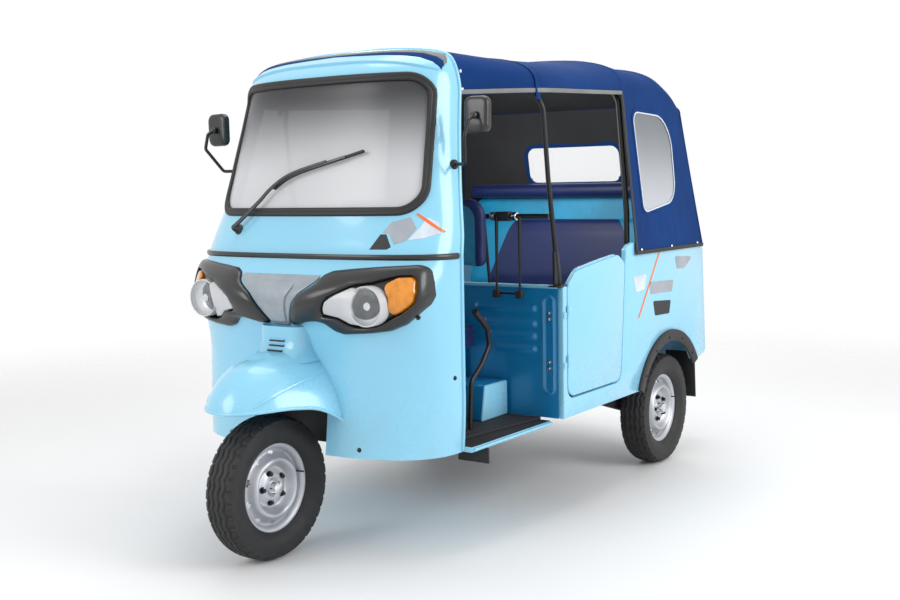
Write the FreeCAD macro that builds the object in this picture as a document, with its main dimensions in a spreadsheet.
import FreeCAD, Part
import math
import os

import Sketcher

# Auto rickshaw in millimetres. The front is towards -Y, the vehicle's left is +X and +Z is up.
# The origin lies on the ground at the middle of the overall box.

V = FreeCAD.Vector
DOC = FreeCAD.newDocument("AutoRickshaw")
CLEAR = 0.3

SIZES = {
    # Wheels and running gear
    "wheelbase": 1950, "rear_axle_y": 860, "rear_wheel_x": 566,
    "tyre_radius": 249, "tyre_half_width": 60, "rim_radius": 166, "rim_half_width": 53,
    "bead_radius": 152, "well_radius": 132, "disc_thickness": 5,
    "axle_radius": 15, "rim_slots": 5,
    # Driver's cowl
    "cab_half_width": 556, "cab_rear_y": -700, "cab_top_rear_y": -560, "cab_lean_top_z": 1600, "cab_bottom_z": 355, "cab_wall": 14,
    "wheel_slot_half": 168, "wheel_slot_top": 540, "belt_z": 1040, "belt_height": 22,
    "glass_top_z": 1652, "glass_bottom_z": 1182, "glass_half_top": 433, "glass_half_bottom": 473,
    "glass_corner": 80, "glass_thickness": 6, "seal_width": 24,
    # Lamps
    "lamp_x": 370, "lamp_z": 876, "lamp_radius": 70,
    # Steering
    "rake": 18, "column_radius": 19, "column_top": 770, "head_radius": 40, "head_low": 440,
    "head_high": 640, "fork_offset": 100, "fork_radius": 17,
    # Floor
    "floor_z": 355, "floor_thickness": 20, "mat_thickness": 10, "step_half_width": 602,
    # Passenger tub
    "tub_half_width": 658, "tub_front_y": -170, "tub_rear_y": 1250, "tub_bottom_z": 384,
    "tub_wall": 22, "front_wall_top": 883, "side_rear_top": 995, "arch_y": 819, "arch_z": 253,
    "arch_radius": 354, "flare_width": 34, "flare_depth": 14,
    "door_front_y": -140, "door_rear_y": 366, "door_bottom_z": 462, "door_gap": 4, "door_thickness": 22,
    "bench_front_y": 480, "bench_top_z": 620, "bench_sheet": 16,
    # Canopy
    "canopy_wall": 6, "canopy_bottom_z": 972, "hoop_radius": 12,
    # Frame
    "rail_x": 250, "rail_width": 44, "rail_height": 60, "bumper_y": 1340,
}


class Dim:
    """A size that carries its value and the sheet expression it comes from."""

    def __init__(self, value, text):
        self.value = float(value)
        self.text = text

    @staticmethod
    def of(other):
        return other if isinstance(other, Dim) else Dim(other, "%.6g" % other)

    def _join(self, other, sign, value):
        return Dim(value, "(%s %s %s)" % (self.text, sign, other.text))

    def __add__(self, other):
        other = Dim.of(other)
        return self._join(other, "+", self.value + other.value)

    def __sub__(self, other):
        other = Dim.of(other)
        return self._join(other, "-", self.value - other.value)

    def __mul__(self, other):
        other = Dim.of(other)
        return self._join(other, "*", self.value * other.value)

    def __truediv__(self, other):
        other = Dim.of(other)
        return self._join(other, "/", self.value / other.value)

    def __radd__(self, other):
        return Dim.of(other) + self

    def __rsub__(self, other):
        return Dim.of(other) - self

    def __rmul__(self, other):
        return Dim.of(other) * self

    def __neg__(self):
        return Dim(-self.value, "(0 - %s)" % self.text)

    def __float__(self):
        return self.value


class Sizes:
    """The spreadsheet of driving dimensions, read as attributes."""

    def __init__(self, table):
        self.sheet = DOC.addObject("Spreadsheet::Sheet", "Sizes")
        for row, (alias, value) in enumerate(table.items(), 1):
            self.sheet.set("A%d" % row, alias)
            self.sheet.set("B%d" % row, str(value))
            self.sheet.setAlias("B%d" % row, alias)
        DOC.recompute()

    def __getattr__(self, alias):
        return Dim(getattr(self.sheet, alias), "Sizes." + alias)


S = Sizes(SIZES)
NODES = {}


def bind(obj, prop, size):
    obj.setExpression(prop, Dim.of(size).text)


def node(obj, label):
    """Give a finished sub-part the name that its file takes."""
    obj.Label = label
    NODES[label] = obj
    return obj


def place(obj, x=0, y=0, z=0):
    for axis, size in zip("xyz", (x, y, z)):
        bind(obj, ".Placement.Base." + axis, size)
    return obj


def box(name, x, y, z):
    """A block between two values on each axis."""
    obj = DOC.addObject("Part::Box", name)
    for prop, (low, high) in zip(("Length", "Width", "Height"), (x, y, z)):
        bind(obj, prop, Dim.of(high) - low)
    return place(obj, x[0], y[0], z[0])


def rod(name, start, direction, radius, length):
    """A round bar from start along a direction vector."""
    obj = DOC.addObject("Part::Cylinder", name)
    bind(obj, "Radius", radius)
    bind(obj, "Height", length)
    obj.Placement = FreeCAD.Placement(V(0, 0, 0), FreeCAD.Rotation(V(0, 0, 1), V(*direction)))
    return place(obj, *start)


def fuse(name, *parts):
    obj = DOC.addObject("Part::MultiFuse", name)
    obj.Shapes = list(parts)
    return obj


def common(name, *parts):
    obj = DOC.addObject("Part::MultiCommon", name)
    obj.Shapes = list(parts)
    return obj


def cut(name, base, *tools):
    obj = DOC.addObject("Part::Cut", name)
    obj.Base = base
    obj.Tool = tools[0] if len(tools) == 1 else fuse(name + "_tools", *tools)
    return obj


def group(name, *parts):
    """Like pieces that don't touch, kept as one sub-part."""
    obj = DOC.addObject("Part::Compound", name)
    obj.Links = list(parts)
    return obj


def mirrored(name, source):
    """The same piece on the other side of the vehicle."""
    obj = DOC.addObject("Part::Mirroring", name)
    obj.Source = source
    obj.Normal = V(1, 0, 0)
    return obj


def both_sides(name, source):
    return group(name, source, mirrored(name + "_other_side", source))


def feature(name, shape):
    obj = DOC.addObject("Part::Feature", name)
    obj.Shape = shape
    return obj


PLANES = {"XY": ("XY_Plane", 1), "XZ": ("XZ_Plane", -1), "YZ": ("YZ_Plane", 1)}


def origin_plane(body, role):
    return [item for item in body.Origin.OriginFeatures if item.Role == role][0]


def sketch(body, plane, outline, level=0):
    """A closed outline whose corner points are bound to the sheet, or a circle (x, y, radius)."""
    role, sign = PLANES[plane]
    obj = body.newObject("Sketcher::SketchObject", body.Name + "_sketch")
    obj.AttachmentSupport = [(origin_plane(body, role), "")]
    obj.MapMode = "FlatFace"
    bind(obj, ".AttachmentOffset.Base.z", Dim.of(level) * sign)
    if isinstance(outline, tuple):
        x, y, radius = (Dim.of(item) for item in outline)
        obj.addGeometry(Part.Circle(V(x.value, y.value, 0), V(0, 0, 1), radius.value), False)
        pin(obj, 0, 3, x, y)
        index = obj.addConstraint(Sketcher.Constraint("Radius", 0, radius.value))
        obj.setExpression("Constraints[%d]" % index, radius.text)
        return obj
    points = [(Dim.of(x), Dim.of(y)) for x, y in outline]
    count = len(points)
    for i in range(count):
        ends = [V(p[0].value, p[1].value, 0) for p in (points[i], points[(i + 1) % count])]
        obj.addGeometry(Part.LineSegment(*ends), False)
    for i in range(count):
        obj.addConstraint(Sketcher.Constraint("Coincident", i, 2, (i + 1) % count, 1))
    for i, (x, y) in enumerate(points):
        pin(obj, i, 1, x, y)
    return obj


def pin(obj, geometry, point, x, y):
    """Bind one sketch point's distances from the sketch origin."""
    for kind, size in (("DistanceX", x), ("DistanceY", y)):
        index = obj.addConstraint(Sketcher.Constraint(kind, -1, 1, geometry, point, size.value))
        obj.setExpression("Constraints[%d]" % index, size.text)


def pad(body, plane, outline, low, high):
    level = high if plane == "XZ" else low
    obj = body.newObject("PartDesign::Pad", body.Name + "_pad")
    obj.Profile = sketch(body, plane, outline, level)
    bind(obj, "Length", Dim.of(high) - low)
    return obj


def pocket(body, plane, outline, low, high):
    """Cut an outline from the body between two levels."""
    level = high if plane == "XZ" else low
    obj = body.newObject("PartDesign::Pocket", body.Name + "_pocket")
    obj.Profile = sketch(body, plane, outline, level)
    obj.Reversed = True
    bind(obj, "Length", Dim.of(high) - low)
    return obj


def round_edges(body, plane, corners, radius):
    """Round the body's edges that run along the plane's normal through the given corners."""
    DOC.recompute()
    axes = {"XY": (0, 1, 2), "XZ": (0, 2, 1), "YZ": (1, 2, 0)}[plane]
    names = []
    for number, edge in enumerate(body.Tip.Shape.Edges, 1):
        ends = [vertex.Point for vertex in edge.Vertexes]
        if len(ends) < 2:
            continue
        span = ends[1] - ends[0]
        if abs(span[axes[0]]) + abs(span[axes[1]]) > 0.01:
            continue
        for x, y in corners:
            if abs(ends[0][axes[0]] - float(x)) + abs(ends[0][axes[1]] - float(y)) < 0.05:
                names.append("Edge%d" % number)
    base = body.Tip
    obj = body.newObject("PartDesign::Fillet", body.Name + "_fillet")
    obj.Base = (base, names)
    bind(obj, "Radius", radius)
    body.Tip = obj
    return obj


def new_body(name):
    return DOC.addObject("PartDesign::Body", name)


def prism(name, plane, outline, low, high, rounds=()):
    """A padded outline. rounds holds (corner indices, radius) pairs."""
    body = new_body(name)
    pad(body, plane, outline, low, high)
    for indices, radius in rounds:
        round_edges(body, plane, [outline[i] for i in indices], radius)
    return body


def turned(name, outline, axis):
    """A revolved outline in the XZ plane about the X or Z axis."""
    body = new_body(name)
    obj = body.newObject("PartDesign::Revolution", name + "_turn")
    obj.Profile = sketch(body, "XZ", outline)
    obj.ReferenceAxis = (obj.Profile[0], ["H_Axis" if axis == "X" else "V_Axis"])
    obj.Angle = 360
    return body


def bent_path(points, bend):
    """Straight runs joined by tangent arcs of one bend radius."""
    points = [V(*[float(value) for value in point]) for point in points]
    edges = []
    start = points[0]
    for before, corner, after in zip(points, points[1:], points[2:]):
        incoming = (corner - before).normalize()
        outgoing = (after - corner).normalize()
        turn = incoming.getAngle(outgoing)
        setback = bend * math.tan(turn / 2)
        first = corner - incoming * setback
        last = corner + outgoing * setback
        inward = (outgoing - incoming).normalize()
        middle = corner + inward * (bend / math.cos(turn / 2) - bend)
        edges.append(Part.LineSegment(start, first).toShape())
        edges.append(Part.Arc(first, middle, last).toShape())
        start = last
    edges.append(Part.LineSegment(start, points[-1]).toShape())
    return Part.Wire(edges)


def tube(name, points, radius, bend=60):
    """A round bar swept along a bent path."""
    path = feature(name + "_path", bent_path(points, float(bend)))
    ring = DOC.addObject("Part::Circle", name + "_ring")
    bind(ring, "Radius", radius)
    start, second = (V(*[float(value) for value in point]) for point in points[:2])
    ring.Placement = FreeCAD.Placement(start, FreeCAD.Rotation(V(0, 0, 1), second - start))
    obj = DOC.addObject("Part::Sweep", name)
    obj.Sections = [ring]
    obj.Spine = (path, ["Edge%d" % (i + 1) for i in range(len(path.Shape.Edges))])
    obj.Solid = True
    obj.Frenet = True
    return obj


# Curved forms of the cowl, mudguard and canopy

# Rows of the cowl's form from the leg shield up to the brow: height, nose and half width.
COWL_ROWS = [(355, -980, 548), (440, -971, 553), (520, -964, 556), (605, -959, 556), (690, -958, 556),
             (750, -970, 556), (800, -990, 556), (850, -1018, 556), (890, -1031, 556),
             (930, -1024, 556), (965, -1000, 556), (1000, -968, 556), (1036, -943, 556),
             (1100, -915, 550), (1184, -885, 533), (1290, -859, 512), (1400, -838, 494),
             (1500, -817, 479), (1590, -797, 468), (1640, -785, 462), (1675, -768, 453),
             (1700, -742, 442), (1720, -712, 427), (1737, -679, 394), (1750, -645, 330),
             (1760, -612, 232)]
BROW_Z = 1590
# Rows of the mudguard's form: height, forward tip and half width.
GUARD_ROWS = [(380, -1300, 262), (430, -1325, 258), (480, -1339, 250), (540, -1341, 232),
              (600, -1316, 205), (650, -1270, 168), (685, -1205, 130), (702, -1130, 100),
              (712, -1050, 80)]


def bulge(reach, power, root=0.4):
    """Share of full depth at a share of half-width, for a flat-nosed rounded outline."""
    return max(0.0, 1.0 - abs(reach) ** power) ** root


def across(steps=14):
    """Shares of half width from one side to the other, closer together near the corners."""
    return [-math.cos(math.pi * i / steps) for i in range(steps + 1)]


def plan_row(z, half, nose, rear, back, power, root=0.4):
    """One level of a form: round the nose from side to side, then back past the rear line."""
    row = [V(half * reach, rear + (nose - rear) * bulge(reach, power, root), z) for reach in across()]
    if back:
        tails = [[V(side * half, rear + back * share, z) for share in (1, 0.5)] for side in (-1, 1)]
        row = tails[0] + row + tails[1][::-1]
    return row


def same_ends(edge, first, last):
    points = [vertex.Point for vertex in edge.Vertexes]
    if len(points) != 2:
        return False
    there = (points[0] - first).Length + (points[1] - last).Length
    back = (points[1] - first).Length + (points[0] - last).Length
    return min(there, back) < 0.01


def solid_from_rows(rows):
    """A closed solid: one smooth face through the rows of points, and flat faces that close it."""
    surface = Part.BSplineSurface()
    surface.interpolate(rows)
    skin = surface.toShape()
    low, high = (rows[0][0], rows[0][-1]), (rows[-1][0], rows[-1][-1])

    def border(first, last):
        return [edge for edge in skin.Edges if same_ends(edge, first, last)][0]

    low_line, high_line = Part.makeLine(low[1], low[0]), Part.makeLine(high[1], high[0])
    sides = [border(low[0], high[0]), low_line, border(low[1], high[1]), high_line]
    faces = [skin]
    for edges in ([border(*low), low_line], [border(*high), high_line], sides):
        wire = Part.Wire(edges)
        wire.fixTolerance(0.01)
        faces.append(Part.Face(wire))
    shell = Part.makeShell(faces)
    shell.sewShape(0.0001)
    solid = Part.makeSolid(shell)
    solid.fix(0.00001, 0.00001, 0.001)
    if solid.Volume < 0:
        solid.reverse()
    return solid


def lean_share(z, low, high):
    """How far a height has come from a low one to a high one, between 0 and 1."""
    return min(1.0, max(0.0, (z - low) / (high - low)))


def cab_rear_at(z):
    """The rear edge's place at a height: upright up to the belt, then leaning back to the roof."""
    share = lean_share(z, float(S.belt_z), float(S.cab_lean_top_z))
    return float(S.cab_rear_y) + share * float(S.cab_top_rear_y - S.cab_rear_y)


def cab_form(grow):
    """The solid cowl form, larger by grow, run on past its rear line and down past its foot."""
    half_width = float(S.cab_half_width)
    widest, top = COWL_ROWS[5][2], COWL_ROWS[-1][0]
    tail = float(S.cab_top_rear_y) + 60 - grow
    rows = []
    for z, nose, half in [(COWL_ROWS[0][0] - 40 + grow,) + COWL_ROWS[0][1:]] + COWL_ROWS:
        lift = max(0.0, (z - BROW_Z) / (top - BROW_Z))
        half = half_width * half / widest + grow * (1 - lift)
        round_off = lean_share(z, float(S.belt_z), float(S.glass_bottom_z))
        power, root = 3.0 - 0.4 * round_off, 0.4 + 0.05 * round_off
        rear = cab_rear_at(z)
        rows.append(plan_row(z + grow * lift, half, nose - grow * (1 - lift), rear, tail - rear, power, root))
    return solid_from_rows(rows)


def cab_trim():
    """The space that the finished cowl keeps to: in front of its rear line, above its foot."""
    side, far = -1500, 3000
    line = [float(S.cab_bottom_z), float(S.belt_z), float(S.cab_lean_top_z), far]
    corners = [V(side, -far, line[0])] + [V(side, cab_rear_at(z), z) for z in line] + [V(side, -far, far)]
    return Part.Face(Part.makePolygon(corners + corners[:1])).extrude(V(-2 * side, 0, 0))


def cab_band(name, inner, outer):
    """The layer of space between two sizes of the cowl form, in front of its rear line."""
    return feature(name, cab_form(outer).common(cab_trim()).cut(cab_form(inner)))


# Driver's cowl

GLASS_OUTLINE = [(-S.glass_half_bottom, S.glass_bottom_z), (S.glass_half_bottom, S.glass_bottom_z),
                 (S.glass_half_top, S.glass_top_z), (-S.glass_half_top, S.glass_top_z)]
FAR_FRONT, FAR_REAR = -1500, -590


def glass_prism(name, grow):
    """The windscreen outline run through from front to rear, larger all round by grow."""
    low, high = S.glass_bottom_z - grow, S.glass_top_z + grow
    bottom, top = S.glass_half_bottom + grow, S.glass_half_top + grow
    outline = [(-bottom, low), (bottom, low), (top, high), (-top, high)]
    return prism(name, "XZ", outline, FAR_FRONT, FAR_REAR, [((0, 1, 2, 3), S.glass_corner + grow)])


def make_cab_shell():
    outer = feature("cab_outer", cab_form(0).common(cab_trim()))
    inner = feature("cab_inner", cab_form(-float(S.cab_wall)))
    slot = box("wheel_slot", (-S.wheel_slot_half, S.wheel_slot_half), (FAR_FRONT, S.cab_rear_y - 130),
               (0, S.wheel_slot_top))
    head_gap = box("steering_gap", (-62, 62), (FAR_FRONT, S.cab_rear_y - 130), (S.wheel_slot_top - 1, 780))
    shell = cut("cab_shell_cut", outer, inner, glass_prism("windscreen_hole", 0), slot, head_gap)
    node(shell, "cab_shell")


def make_windscreen():
    skin = cab_band("glass_skin", -S.glass_thickness.value - 2, -2)
    node(common("windscreen_cut", skin, glass_prism("windscreen_edge", -CLEAR)), "windscreen")
    bead = cab_band("seal_skin", CLEAR, 9)
    ring = cut("seal_ring", glass_prism("seal_outer", S.seal_width * 0.5),
               glass_prism("seal_inner", -S.seal_width))
    lip = common("seal_lip", bead, ring)
    inside = cab_band("seal_back_skin", -2 + CLEAR, 1)
    inside_ring = cut("seal_back_ring", glass_prism("seal_back_outer", -CLEAR),
                      glass_prism("seal_back_inner", -S.seal_width))
    node(fuse("windscreen_seal_join", lip, common("seal_back", inside, inside_ring)), "windscreen_seal")


def make_belt():
    band = cab_band("belt_skin", CLEAR, 9)
    slab = box("belt_slab", (-900, 900), (FAR_FRONT, S.cab_rear_y),
               (S.belt_z - S.belt_height / 2, S.belt_z + S.belt_height / 2))
    node(common("belt_moulding_cut", band, slab), "belt_moulding")


# Lamp surround outline (x, z) on the left side, from the badge panel's edge outwards.
BEZEL_OUTLINE = [(96, 968), (260, 1000), (520, 1004), (552, 985), (550, 890), (500, 832), (400, 792),
                 (300, 770), (228, 792), (190, 828), (96, 800), (50, 812), (62, 870)]
BADGE_OUTLINE = [(-178, 975), (178, 975), (90, 955), (58, 868), (46, 800), (-46, 800), (-58, 868),
                 (-90, 955)]
INDICATOR_OUTLINE = [(430, 905), (452, 972), (528, 978), (532, 918), (490, 858), (440, 850)]


def make_lamps():
    band = cab_band("bezel_skin", CLEAR, 24)
    surround = prism("bezel_prism", "XZ", BEZEL_OUTLINE, FAR_FRONT, FAR_REAR, [((2, 3), 20)])
    lamp_axis = rod("bezel_bore", (S.lamp_x, FAR_FRONT, S.lamp_z), (0, 1, 0), S.lamp_radius + 6, 900)
    amber = prism("indicator_hole", "XZ", INDICATOR_OUTLINE, FAR_FRONT, FAR_REAR, [((1, 2, 4), 12)])
    bezel = cut("bezel_cut", common("bezel_form", band, surround), lamp_axis, amber)
    node(both_sides("lamp_bezels_pair", bezel), "lamp_bezels")

    lens_band = cab_band("indicator_skin", CLEAR, 20)
    lens = common("indicator_form", lens_band,
                  prism("indicator_prism", "XZ", INDICATOR_OUTLINE, FAR_FRONT, FAR_REAR, [((1, 2, 4), 12)]),
                  )
    bowl = rod("indicator_relief", (S.lamp_x, FAR_FRONT, S.lamp_z), (0, 1, 0), S.lamp_radius + 4, 900)
    inset = cut("indicator_cut", lens, bowl)
    node(both_sides("indicators_pair", inset), "indicators")

    barrel = rod("lamp_barrel", (S.lamp_x, -1016, S.lamp_z), (0, 1, 0), S.lamp_radius, 120)
    back = feature("lamp_seat", cab_form(CLEAR))
    node(both_sides("headlamps_pair", cut("lamp_cut", barrel, back)), "headlamps")

    badge_band = cab_band("badge_skin", CLEAR, 15)
    badge = common("badge_form", badge_band,
                   prism("badge_prism", "XZ", BADGE_OUTLINE, FAR_FRONT, FAR_REAR))
    wings = both_sides("badge_relief_pair",
                       prism("badge_relief", "XZ", [(x - CLEAR, z) for x, z in BEZEL_OUTLINE],
                             FAR_FRONT, FAR_REAR))
    node(cut("front_badge_cut", badge, wings), "front_badge")


def guard_form(grow, low=0):
    table = GUARD_ROWS if not low else [(GUARD_ROWS[0][0] - low,) + GUARD_ROWS[0][1:]] + GUARD_ROWS
    rows = [plan_row(z + grow, half + grow, tip - grow, -820, 0, 2.4, 0.5) for z, tip, half in table]
    return solid_from_rows(rows)


def make_front_mudguard():
    wall = 8
    outer = feature("guard_outer", guard_form(0))
    inner = feature("guard_inner", guard_form(-wall, 40))
    neck = prism("guard_neck", "YZ", [(-1040, 640), (-1030, 690), (-1025, 792), (-880, 792), (-880, 640)],
                 -112, 112)
    hollow = prism("guard_neck_hollow", "YZ", [(-1032, 600), (-1022, 690), (-1017, 784), (-880, 784),
                                               (-880, 600)], wall - 112, 112 - wall)
    cab = feature("guard_cab", cab_form(CLEAR))
    under = prism("guard_under", "YZ", [(-1500, 300), (-1500, 534), (-1345, 534), (-1250, 541), (-1120, 540),
                                        (-1040, 525), (-960, 478), (-920, 440), (-700, 440), (-700, 300)],
                  -400, 400)
    whole = fuse("guard_join", outer, neck)
    node(cut("front_mudguard_cut", whole, inner, hollow, under, cab), "front_mudguard")


def make_wheelhouse():
    half = S.wheel_slot_half + 46
    outer = box("house_outer", (-half - 8, half + 8), (-1100, -812), (S.floor_z, 618))
    inner = box("house_inner", (-half, half), (-1200, -820), (0, 610))
    cab = feature("house_cab", cab_form(-float(S.cab_wall) - CLEAR))
    bore = rod("house_bore", (0, front_axle_y(), S.tyre_radius), steer_vector(), S.head_radius + 6, 900)
    node(cut("wheelhouse_cut", common("house_form", outer, cab), inner, bore), "wheelhouse")


def front_axle_y():
    return S.rear_axle_y - S.wheelbase


def steer_vector():
    angle = math.radians(float(S.rake))
    return (0, math.sin(angle), math.cos(angle))


def raked(obj):
    """Carry a piece modelled about a vertical steering axis to its raked place on the vehicle."""
    obj.Placement = FreeCAD.Placement(V(0, 0, 0), FreeCAD.Rotation(V(1, 0, 0), -float(S.rake)))
    return place(obj, 0, front_axle_y(), S.tyre_radius)


def make_steering():
    head_outer = raked(rod("head_outer", (0, 0, 0), (0, 0, 1), S.head_radius, 1))
    bind(head_outer, "Height", S.head_high - S.head_low)
    angle = math.radians(float(S.rake))
    place(head_outer, 0, front_axle_y() + S.head_low * math.sin(angle),
          S.tyre_radius + S.head_low * math.cos(angle))
    head_bore = rod("head_bore", (0, front_axle_y(), S.tyre_radius), steer_vector(),
                    S.column_radius + CLEAR, 900)
    gusset = box("head_gusset", (-32, 32), (-920, -826), (618 + CLEAR, 760))
    node(cut("steering_head_cut", fuse("head_join", head_outer, gusset), head_bore), "steering_head")
    column = rod("column_bar", (0, 0, 318), (0, 0, 1), S.column_radius, S.column_top - 318)
    crown = rod("column_foot", (0, 0, 318), (0, 0, 1), 34, 48)
    node(raked(fuse("steering_column_join", column, crown)), "steering_column")
    bars = tube("handlebar_tube", [(-300, 120, S.column_top + 14), (-170, 60, S.column_top + 14),
                                   (-60, 0, S.column_top + 14), (60, 0, S.column_top + 14),
                                   (170, 60, S.column_top + 14), (300, 120, S.column_top + 14)], 12, 40)
    clampblock = box("handlebar_clamp", (-40, 40), (-26, 26), (S.column_top + CLEAR, S.column_top + 40))
    grips = both_sides("handlebar_grips", rod("grip", (205, 76.2, S.column_top + 14), (130, 60, 0), 16, 104))
    node(raked(fuse("handlebar_join", bars, clampblock, grips)), "handlebar")
    side = -S.fork_offset
    fork = tube("fork_tube", [(0, 0, 317), (side, 0, 270), (side, 0, 120), (side, -80, 30)],
                S.fork_radius, 50)
    foot = rod("fork_seat", (0, 0, 317), (0, 0, 1), 34 + CLEAR, 50)
    node(raked(cut("front_fork_cut", fork, foot)), "front_fork")


# Wheels

def make_wheel(label, x, y, facing):
    """A tyre and a pressed steel rim about the X axis; facing is 1 where the dish looks to +X."""
    half, tread = S.tyre_half_width, S.tyre_radius
    grip, wall = S.bead_radius + CLEAR, S.rim_half_width
    groove = 5
    outline = [(-(wall - 15), grip), (wall - 15, grip), (wall - 9, grip + 16), (half - 2, grip + 34),
               (half, tread - 46), (half - 6, tread - 22), (half - 14, tread - 8), (34, tread - 3)]
    for middle in (26, 0, -26):
        outline += [(middle + 5, tread - 1), (middle + 3, tread - groove), (middle - 3, tread - groove),
                    (middle - 5, tread - 1)]
        if middle > -26:
            outline.append((middle - 13, tread))
    outline += [(-34, tread - 3), (-(half - 14), tread - 8), (-(half - 6), tread - 22), (-half, tread - 46),
                (-(half - 2), grip + 34), (-(wall - 9), grip + 16)]
    tyre = turned(label + "_tyre_body", outline, "X")
    node(place(tyre, x, y, tread), label + "_tyre")

    sheet = S.disc_thickness
    seat, well = S.bead_radius, S.well_radius
    barrel = [(-wall, S.rim_radius), (-wall, S.rim_radius - 6), (-(wall - 8), S.rim_radius - 10),
              (-(wall - 12), seat - sheet), (-30, seat - sheet), (-22, well - sheet), (22, well - sheet),
              (30, seat - sheet), (wall - 12, seat - sheet), (wall - 8, S.rim_radius - 10),
              (wall, S.rim_radius - 6), (wall, S.rim_radius), (wall - 6, S.rim_radius),
              (wall - 12 + CLEAR, seat + 4), (wall - 14, seat), (26, seat), (18, well), (-18, well),
              (-26, seat), (-(wall - 14), seat), (-(wall - 12 + CLEAR), seat + 4), (-(wall - 6), S.rim_radius)]
    rim = turned(label + "_rim_barrel", barrel, "X")
    dish = [(8, well - sheet + 1), (2, well - sheet + 1), (22, 112), (38, 88), (34, 62), (22, 46), (18, 40),
            (18, S.axle_radius + CLEAR), (44, S.axle_radius + CLEAR), (44, 0), (54, 0), (52, 16), (46, 22),
            (30, 24), (30, 40), (38, 56), (46, 82), (42, 98), (30, 116)]
    disc = turned(label + "_rim_disc", dish, "X")
    slots = []
    for turn in range(int(S.rim_slots.value)):
        angle = 360.0 / S.rim_slots.value * turn
        slot = rod("%s_slot_%d" % (label, turn), (-20, 0, 0), (1, 0, 0), 11, 90)
        spin = FreeCAD.Rotation(V(1, 0, 0), angle + 20)
        centre = spin.multVec(V(-20, 0, 116))
        slot.Placement = FreeCAD.Placement(centre, FreeCAD.Rotation(V(0, 0, 1), V(1, 0, 0)))
        slot.setExpression(".Placement.Base.x", None)
        slot.setExpression(".Placement.Base.y", None)
        slot.setExpression(".Placement.Base.z", None)
        slots.append(slot)
    drilled = cut(label + "_rim_drilled", disc, *slots)
    wheel = fuse(label + "_rim_join", rim, drilled)
    wheel.Placement = FreeCAD.Placement(V(0, 0, 0), FreeCAD.Rotation(V(0, 0, 1), 0 if facing > 0 else 180))
    node(place(wheel, x, y, tread), label + "_rim")


def make_wheels():
    make_wheel("front", 0, S.rear_axle_y - S.wheelbase, 1)
    make_wheel("rear_left", S.rear_wheel_x, S.rear_axle_y, 1)
    make_wheel("rear_right", -S.rear_wheel_x, S.rear_axle_y, -1)


def make_front_arm():
    """Trailing arm with its stub axle on the wheel's right side, in the steering's raked frame."""
    outer = -(S.fork_offset + S.fork_radius + CLEAR)
    stub = rod("front_stub", (outer - 20, 0, 0), (1, 0, 0), S.axle_radius, 20 - outer + 43)
    collar = rod("front_stub_collar", (outer - 20, 0, 0), (1, 0, 0), 28, 40)
    pivot = rod("front_arm_pivot", (outer - 20, -80, 30), (1, 0, 0), 24, 20)
    link = prism("front_arm_link", "YZ", [(-92, 10), (0, -26), (12, 22), (-70, 50)], outer - 18, outer - 2)
    node(raked(fuse("front_arm_join", stub, collar, pivot, link)), "front_arm")


# Cab floor and fittings

def make_floor():
    top = S.floor_z + S.floor_thickness
    half, wide = S.cab_half_width - S.cab_wall - 6, S.step_half_width
    front, rear = S.cab_rear_y - 100, S.tub_front_y - CLEAR
    inner_front = S.cab_rear_y + CLEAR
    inside = feature("floor_seat", cab_form(-float(S.cab_wall) - CLEAR))
    nose = common("floor_nose", inside, box("floor_front", (-half, half), (front, inner_front + 1),
                                            (S.floor_z, top)))
    outline = [(wide - 14, inner_front), (wide, rear), (-wide, rear), (-(wide - 14), inner_front)]
    node(fuse("floor_join", nose, prism("floor_pan_body", "XY", outline, S.floor_z, top)), "floor_pan")
    edge = 44
    mat = [(-(half - edge), inner_front), (half - edge, inner_front), (wide - edge, rear), (-(wide - edge), rear)]
    node(prism("floor_mat_body", "XY", mat, top, top + S.mat_thickness), "floor_mat")
    flap = box("front_flap", (470, 598), (-612, -604), (300, S.floor_z))
    node(both_sides("front_flaps_pair", flap), "front_flaps")


# The partition rail crosses between the posts, level with this point on each.
RAIL_Y, RAIL_Z = -201, 1152


def make_cab_fittings():
    top = S.floor_z + S.floor_thickness + S.mat_thickness
    seat_box = prism("seat_box_body", "YZ", [(-470, top), (-186, top), (-186, 640), (-440, 640)], -230, 230)
    node(seat_box, "driver_seat_box")
    cushion = prism("driver_cushion_body", "YZ", [(-500, 640), (-190, 640), (-190, 730), (-500, 742)],
                    -300, 300, [((3,), 30), ((2,), 16)])
    node(cushion, "driver_cushion")
    rear = RAIL_Y - S.hoop_radius - CLEAR
    half, low, high = 370, 950, 1232
    back = prism("driver_backrest_body", "XZ", [(-half, low), (half, low), (half, high), (-half, high)],
                 rear - 46, rear, [((0, 1), 30), ((2, 3), 80)])
    node(back, "driver_backrest")
    step = prism("floor_box_body", "YZ", [(-370, top), (S.tub_front_y - 14, top), (S.tub_front_y - 14, 520),
                                          (-345, 520)], 240, 420, [((3,), 12)])
    node(step, "floor_box")
    dash = prism("dashboard_body", "YZ", [(-905, 1060), (-846, 1062), (-826, 1090), (-836, 1152),
                                          (-862, 1160), (-880, 1120)], -420, 420, [((2, 3), 16)])
    seat = feature("dash_seat", cab_form(-float(S.cab_wall) - CLEAR))
    node(common("dashboard_cut", dash, seat), "dashboard")
    lever = tube("brake_tube", [(450, -500, top + 1.5), (450, -490, 560), (450, -415, 615),
                                (450, -362, 680), (450, -376, 745), (450, -458, 814)], 9, 30)
    node(lever, "handbrake_lever")


# Passenger tub

DOOR_CREST = [(-60, 944), (300, 984)]


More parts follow.
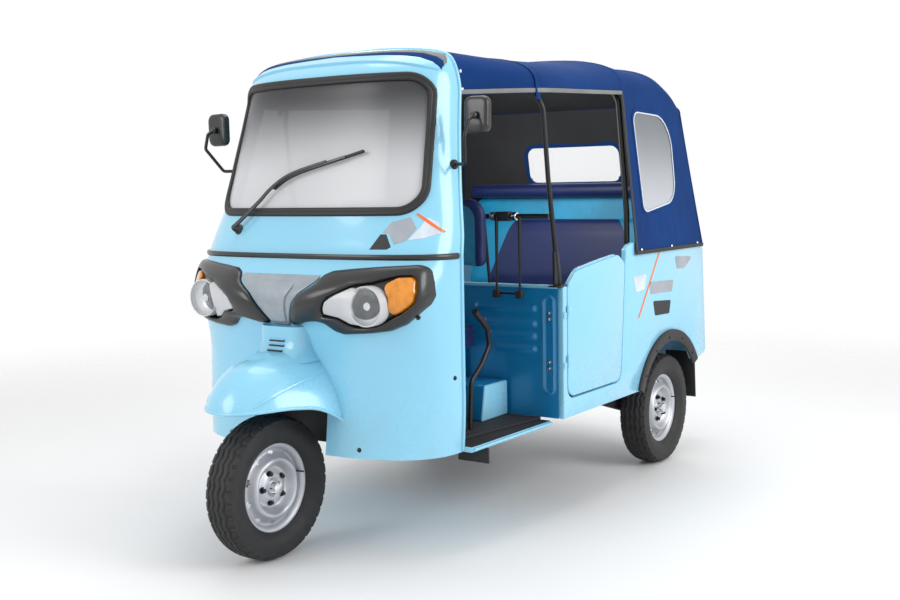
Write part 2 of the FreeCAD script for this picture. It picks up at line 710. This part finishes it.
def door_outline(grow, top):
    """The door's corners, larger by grow, with its top edge carried up to top where given."""
    front, rear, low = S.door_front_y - grow, S.door_rear_y + grow, S.door_bottom_z - grow
    if top:
        return [(front, low), (rear, low), (rear, top), (front, top)]
    return [(front, low), (rear, low), (rear, 955), DOOR_CREST[1], DOOR_CREST[0], (front, 890)]


def make_side(label, inner, outer, door):
    outline = [(S.tub_front_y, S.tub_bottom_z), (500, S.tub_bottom_z), (1120, 447), (1256, 460),
               (S.tub_rear_y - 46, S.side_rear_top), (429, 1026), (372, 1002)]
    outline += DOOR_CREST[::-1] + [(-146, 889), (S.tub_front_y, S.front_wall_top)]
    body = prism(label + "_body", "YZ", outline, inner, outer)
    pocket(body, "YZ", (S.arch_y, S.arch_z, S.arch_radius - 18), inner - 1, outer + 1)
    if door:
        pocket(body, "YZ", door_outline(S.door_gap, 1200), inner - 1, outer + 1)
        round_edges(body, "YZ", door_outline(S.door_gap, 1200)[:2], 62)
    node(body, label)


BACK_PANEL_Y, BACK_PANEL_TOP = 1128, 1206


def make_tub():
    half, wall = S.tub_half_width, S.tub_wall
    make_side("tub_side_left", half - wall, half, True)
    make_side("tub_side_right", -half, wall - half, False)

    front, low = S.tub_front_y, S.tub_bottom_z
    inner = half - wall - CLEAR
    ribs = [(front, low), (front + 14, low), (front + 14, S.front_wall_top), (front, S.front_wall_top)]
    for middle in (800, 730, 660, 590, 520):
        ribs += [(front, middle + 24), (front - 12, middle + 14), (front - 12, middle - 14), (front, middle - 24)]
    node(prism("front_wall_body", "YZ", ribs, -inner, inner), "front_wall")

    floor_top = low + 20
    floor = box("tub_floor_plate", (-inner, inner), (front + 14 + CLEAR, S.bench_front_y - CLEAR),
                (low, floor_top))
    node(floor, "tub_floor")
    front_y, top, sheet = S.bench_front_y, S.bench_top_z, S.bench_sheet
    rear = S.tub_rear_y - 40
    bench = [(front_y, low), (front_y + sheet, low), (front_y + sheet, top - sheet), (rear, top - sheet),
             (rear, top), (front_y, top)]
    node(prism("bench_body", "YZ", bench, -inner, inner, [((5,), 20)]), "bench_box")
    back = prism("rear_panel_body", "XY",
                 [(-half + wall + CLEAR, rear + CLEAR), (half - wall - CLEAR, rear + CLEAR),
                  (half - wall - CLEAR, S.tub_rear_y), (-half + wall + CLEAR, S.tub_rear_y)], 440,
                 S.side_rear_top)
    node(back, "rear_panel")
    upper = box("back_panel_plate", (-560, 560), (BACK_PANEL_Y, BACK_PANEL_Y + 16), (top, BACK_PANEL_TOP))
    node(upper, "back_panel")


def make_door():
    half = S.tub_half_width
    body = prism("door_body", "YZ", door_outline(0, 0), half - S.door_thickness, half,
                 [((0, 1), 58), ((2,), 40), ((4,), 70)])
    pocket(body, "YZ", [(S.door_front_y + 50, 520), (S.door_rear_y - 50, 520), (S.door_rear_y - 50, 900),
                        (S.door_front_y + 50, 870)], half - S.door_thickness, half - 10)
    axis_x, axis_y = half + 6, S.door_front_y - 2
    moving, fixed, bores = [], [], []
    for i, z in enumerate((600, 790)):
        moving.append(rod("door_knuckle_%d" % i, (axis_x, axis_y, z), (0, 0, 1), 5, 22))
        moving.append(box("door_leaf_%d" % i, (half - 1, half + 3), (axis_y, axis_y + 34), (z, z + 22)))
        bores.append(rod("door_bore_%d" % i, (axis_x, axis_y, z - 1), (0, 0, 1), 3 + 0.08, 40))
        fixed.append(rod("post_knuckle_%d" % i, (axis_x, axis_y, z - 22 - CLEAR), (0, 0, 1), 5, 22))
        fixed.append(rod("hinge_pin_%d" % i, (axis_x, axis_y, z - 22 - CLEAR), (0, 0, 1), 3, 44))
        fixed.append(box("post_leaf_%d" % i, (half + CLEAR, half + 3), (axis_y - 26, axis_y),
                         (z - 22 - CLEAR, z - CLEAR)))
    node(cut("door_cut", fuse("door_join", body, *moving), *bores), "passenger_door")
    node(fuse("door_hinges_join", *fixed), "door_hinges")


def make_arches():
    half = S.tub_half_width
    body = new_body("flare_body")
    pad(body, "YZ", (S.arch_y, S.arch_z, S.arch_radius), half + CLEAR, half + S.flare_depth)
    pocket(body, "YZ", (S.arch_y, S.arch_z, S.arch_radius - S.flare_width), half - 1, half + S.flare_depth + 1)
    pocket(body, "YZ", [(0, -300), (0, 378), (S.arch_y, 378), (S.arch_y, 438), (1500, 438), (1500, -300)],
           half - 1, half + S.flare_depth + 1)
    node(both_sides("arch_flares_pair", body), "arch_flares")
    flap = prism("mud_flap", "YZ", [(1178, 250), (1186, 250), (1168, 470), (1160, 470)], 490,
                 S.tub_half_width - S.tub_wall - CLEAR)
    node(both_sides("rear_mud_flaps_pair", flap), "rear_mud_flaps")


def make_seats():
    top = S.bench_top_z + CLEAR
    cushion = prism("bench_cushion_body", "YZ", [(470, top), (1010, top), (1010, 742), (470, 752)],
                    -600, 600, [((3,), 36), ((2,), 20)])
    node(cushion, "passenger_cushion")
    back = prism("bench_back_body", "YZ", [(1018, 745), (1118, 745), (BACK_PANEL_Y - CLEAR, 1040),
                                                    (BACK_PANEL_Y - CLEAR, 1118), (1072, 1118)],
                 -560, 560, [((4,), 30), ((3,), 14)])
    node(back, "passenger_backrest")
    band = prism("headrest_body", "YZ", [(1056, BACK_PANEL_TOP + CLEAR), (1130, BACK_PANEL_TOP + CLEAR),
                                              (1130, 1280), (1056, 1280)],
                 -560, 560, [((2, 3), 22)])
    node(band, "headrest_band")


# Canopy

# Stations of the roof from front to rear: y, half width, shoulder and crown.
ROOF_STATIONS = [(-560, 458, 1650, 1768), (-480, 514, 1641, 1762), (-400, 566, 1632, 1755),
                 (-276, 626, 1624, 1748), (-150, 630, 1625, 1750), (50, 618, 1631, 1760),
                 (300, 604, 1643, 1781), (470, 600, 1650, 1801), (600, 600, 1652, 1787),
                 (740, 600, 1652, 1782), (860, 600, 1650, 1788), (960, 600, 1642, 1716),
                 (1060, 598, 1590, 1655), (1200, 596, 1525, 1590), (1320, 594, 1480, 1545)]
# The sides spread by this much for each millimetre below the reference height, where they are this wide.
SIDE_SPREAD, SIDE_HALF = 0.1034, 600
# Rear wall: middle at the reference height, setback at the corners, and rearward run towards its foot.
REAR_MIDDLE, REAR_BOW, REAR_SLOPE = 1102, 60, 0.198
REAR_REFERENCE_Z, REAR_CORNER_X = 1650, 664


def evenly(points, count=40):
    """Points at equal distances along the line through the given points."""
    spans = [(after - before).Length for before, after in zip(points, points[1:])]
    total, result = sum(spans), [points[0]]
    run, index = 0.0, 0
    for i in range(1, count):
        target = total * i / count
        while run + spans[index] < target:
            run += spans[index]
            index += 1
        share = (target - run) / spans[index]
        result.append(points[index] + (points[index + 1] - points[index]) * share)
    return result + [points[-1]]


def roof_form(grow, start=0, bottom=0):
    """The solid under the roof and between the sides; start and bottom carry its open faces outwards."""
    low = float(S.canopy_bottom_z) + bottom
    wide = SIDE_HALF + grow + SIDE_SPREAD * (REAR_REFERENCE_Z + grow - low)
    rows = []
    for index, (y, half, shoulder, crown) in enumerate(ROOF_STATIONS):
        half, shoulder, crown = half + grow, shoulder + grow, crown + grow
        station = y + (start if index == 0 else 0)
        over = [V(half * reach, 0, shoulder + (crown - shoulder) * bulge(reach, 4.0)) for reach in across(60)]
        foot = wide + min(0, half - grow - ROOF_STATIONS[-1][1])
        row = evenly([V(-foot, 0, low)] + over + [V(foot, 0, low)])
        rows.append([V(point.x, station, point.z) for point in row])
    return solid_from_rows(rows)


def rear_form(grow):
    """The space in front of the bowed rear wall, which runs back towards its foot."""
    base, rise, reach, front = 850, 1100, 720, -1500
    foot = REAR_MIDDLE + grow + REAR_SLOPE * (REAR_REFERENCE_Z - base)
    points = [V(x, foot - REAR_BOW * abs(x / REAR_CORNER_X) ** 3, base) for x in range(-reach, reach + 1, 60)]
    curve = Part.BSplineCurve()
    curve.interpolate(points)
    corners = [points[-1], V(reach, front, base), V(-reach, front, base), points[0]]
    edges = [curve.toShape()] + [Part.makeLine(*ends) for ends in zip(corners, corners[1:])]
    return Part.Face(Part.Wire(edges)).extrude(V(0, -REAR_SLOPE * rise, rise))


def canopy_form(grow, start=0, bottom=0):
    return roof_form(grow, start, bottom).common(rear_form(grow))


SIDE_WINDOW = [(533, 1576), (924, 1566), (914, 1186), (556, 1138)]
SIDE_WINDOW_ROUNDS = [((0,), 46), ((1,), 150), ((2,), 110), ((3,), 34)]
REAR_WINDOW = [(-262, 1275), (262, 1275), (262, 1462), (-262, 1462)]
REAR_WINDOW_ROUNDS = [((0, 1, 2, 3), 50)]


def window_prisms(name, around):
    """The side and rear window outlines run through the canopy."""
    side = prism(name + "_side", "YZ", SIDE_WINDOW, -around, around, SIDE_WINDOW_ROUNDS)
    rear = prism(name + "_rear", "XZ", REAR_WINDOW, 900, 1500, REAR_WINDOW_ROUNDS)
    return side, rear


def make_canopy():
    wall, around = float(S.canopy_wall), 720
    behind_cowl = Part.makeBox(3000, 3000, 3000, V(-1500, float(S.cab_top_rear_y), 0))
    outer = feature("canopy_outer", canopy_form(0, -30).common(behind_cowl))
    inner = feature("canopy_inner", canopy_form(-wall, -60, -60))
    doorway = prism("canopy_doorway", "YZ", [(-800, 900), (460, 900), (455, 1400), (440, 1638),
                                             (-739, 1581), (-800, 1581)], -around, around)
    seat = S.tub_half_width + CLEAR
    tub_relief = box("canopy_tub_relief", (-seat, seat), (1090, 1400), (900, 1001))
    shell = cut("canopy_shell", outer, inner)
    node(cut("canopy_cut", shell, doorway, tub_relief, *window_prisms("window_hole", around)), "canopy")
    panes = fuse("panes", *window_prisms("pane", around))
    node(common("canopy_windows_cut", shell, panes), "canopy_windows")


def across_roof(side):
    """The points of a bow from its left foot over to its right foot."""
    return side + [(-x, y, z) for x, y, z in side[::-1]]


def make_frames():
    bar = S.hoop_radius
    post = tube("post_tube", [(630, -152, S.front_wall_top + 9), (630, -226, 1286), (628, -256, 1545),
                              (606, -270, 1602)], bar, 60)
    node(both_sides("front_posts_pair", post), "front_posts")
    front_bow = across_roof([(605.9, -270.1, 1602.3), (588.2, -281.4, 1648.2), (520, -288, 1693),
                             (250, -288, 1718)])
    middle_bow = across_roof([(618, 462, S.tub_bottom_z + 40), (618, 462, 1150), (580, 462, 1610),
                              (520, 462, 1722), (300, 462, 1767)])
    bracket = fuse("hoop_brackets", *[box("hoop_bracket_%d" % z, (618, S.tub_half_width - S.tub_wall - CLEAR),
                                          (452, 472), (z, z + 40)) for z in (450, 860)])
    middle_hoop = fuse("middle_hoop_join", tube("middle_hoop", middle_bow, bar, 60), bracket,
                       mirrored("hoop_brackets_right", bracket))
    node(group("canopy_hoops_set", tube("front_hoop", front_bow, bar, 30), middle_hoop), "canopy_hoops")
    reach = 630 - bar - CLEAR
    rail = rod("rail_bar", (-reach, RAIL_Y, RAIL_Z), (1, 0, 0), bar, reach * 2)
    leg = rod("rail_leg", (330, -163, S.front_wall_top + 2), (0, -38, 267), 9, 268)
    loop_y = RAIL_Y - 16
    frame = tube("rail_loop", [(396, loop_y, RAIL_Z), (396, loop_y, 860), (498, loop_y, 860),
                               (498, loop_y, RAIL_Z)], 8, 24)
    node(fuse("partition_frame_join", rail, leg, frame), "partition_frame")


# Underbody

def make_underbody():
    top, low = S.tub_bottom_z - CLEAR, S.tub_bottom_z - CLEAR - S.rail_height
    half = S.rail_width / 2
    step_y, tail = S.tub_front_y + 6, S.tub_rear_y + 40 - CLEAR
    outline = [(-790, low), (tail, low), (tail, top), (step_y, top), (step_y - 5, S.floor_z - CLEAR),
               (-790, S.floor_z - CLEAR)]
    rail = prism("long_rail", "YZ", outline, S.rail_x - half, S.rail_x + half)
    cross = [box("cross_member_%d" % i, (-S.rail_x, S.rail_x), (y, y + 44), (low, low + 28))
             for i, y in enumerate((-700, -200, 700 - CLEAR, 1020 + CLEAR))]
    arm_inner = 440
    cross.append(box("pivot_member", (CLEAR - arm_inner, arm_inner - CLEAR), (470, 520), (low, low + 28)))
    node(fuse("chassis_frame_join", rail, mirrored("long_rail_right", rail), *cross), "chassis_frame")
    motor = box("motor_block", (-190, 190), (744, 1020), (270, 520))
    node(motor, "drive_unit")
    node(box("battery_block", (-420, 420), (524, 690), (top + CLEAR, 590)), "battery_case")
    axle_z = S.tyre_radius
    arm = prism("trailing_arm", "YZ", [(462, low), (520, low + 30), (S.rear_axle_y + 36, axle_z + 34),
                                       (S.rear_axle_y + 36, axle_z - 34), (S.rear_axle_y - 40, axle_z - 30)],
                arm_inner, 480)
    hub = rod("rear_stub", (470, S.rear_axle_y, axle_z), (1, 0, 0), S.axle_radius, S.rear_wheel_x - 470 + 40)
    node(both_sides("rear_arms_pair", fuse("rear_arm_join", arm, hub)), "rear_arms")
    damper = rod("rear_damper", (460, 800, 305.3), (0, 0, 1), 20, S.bench_top_z - S.bench_sheet - CLEAR - 305.3)
    node(both_sides("rear_dampers_pair", damper), "rear_dampers")
    bumper = box("bumper_bar", (-600, 600), (S.tub_rear_y + 40, S.bumper_y), (470, 530))
    stay = box("bumper_stay", (S.rail_x - 16, S.rail_x + 16), (S.tub_rear_y + 40, S.tub_rear_y + 48), (low, 480))
    node(fuse("bumper_join", bumper, stay, mirrored("bumper_stay_right", stay)), "rear_bumper")
    lamp = box("tail_lamp_block", (560, 630), (S.tub_rear_y + CLEAR, S.tub_rear_y + 34), (820, 950))
    node(both_sides("tail_lamps_pair", lamp), "tail_lamps")


def make_outside_fittings():
    head = prism("mirror_head_body", "XZ", [(560, 1443), (656, 1443), (656, 1569), (560, 1569)],
                 -682, -654, [((0, 1, 2, 3), 24)])
    arm = tube("mirror_arm", [(490, -668, 1343), (568, -686, 1343), (605, -744, 1430), (610, -724, 1487),
                              (610, -672, 1506)], 7, 16)
    mirror_seat = feature("mirror_seat", cab_form(CLEAR))
    mirror = cut("mirror_cut", fuse("mirror_join", head, arm), mirror_seat)
    node(both_sides("mirrors_pair", mirror), "mirrors")
    arm = tube("wiper_arm", [(-298, -911, 1128), (-120, -883, 1278), (250, -846, 1392)], 5, 60)
    spindle = rod("wiper_spindle", (-298, -916, 1128), (0, 1, 0), 13, 40)
    seat = feature("wiper_seat", cab_form(CLEAR))
    node(cut("wiper_cut", fuse("wiper_join", arm, spindle), seat), "wiper")


def build_all():
    make_cab_shell()
    make_windscreen()
    make_belt()
    make_lamps()
    make_front_mudguard()
    make_wheelhouse()
    make_steering()
    make_wheels()
    make_front_arm()
    make_floor()
    make_cab_fittings()
    make_tub()
    make_door()
    make_arches()
    make_seats()
    make_canopy()
    make_frames()
    make_underbody()
    make_outside_fittings()


def check_and_write():
    """Recompute, refuse a failed object, and write one file for each sub-part."""
    DOC.recompute()
    for obj in DOC.Objects:
        if {"Invalid", "Error"} & set(obj.State):
            raise RuntimeError("%s failed: %s" % (obj.Name, obj.State))
    os.makedirs("parts", exist_ok=True)
    for label, obj in NODES.items():
        if obj.Shape.isNull() or not obj.Shape.isValid():
            raise RuntimeError("%s has no valid shape" % label)
        if not obj.Shape.Solids:
            raise RuntimeError("%s has no solid" % label)
        obj.Shape.exportStep("parts/%s.step" % label)


build_all()
check_and_write()
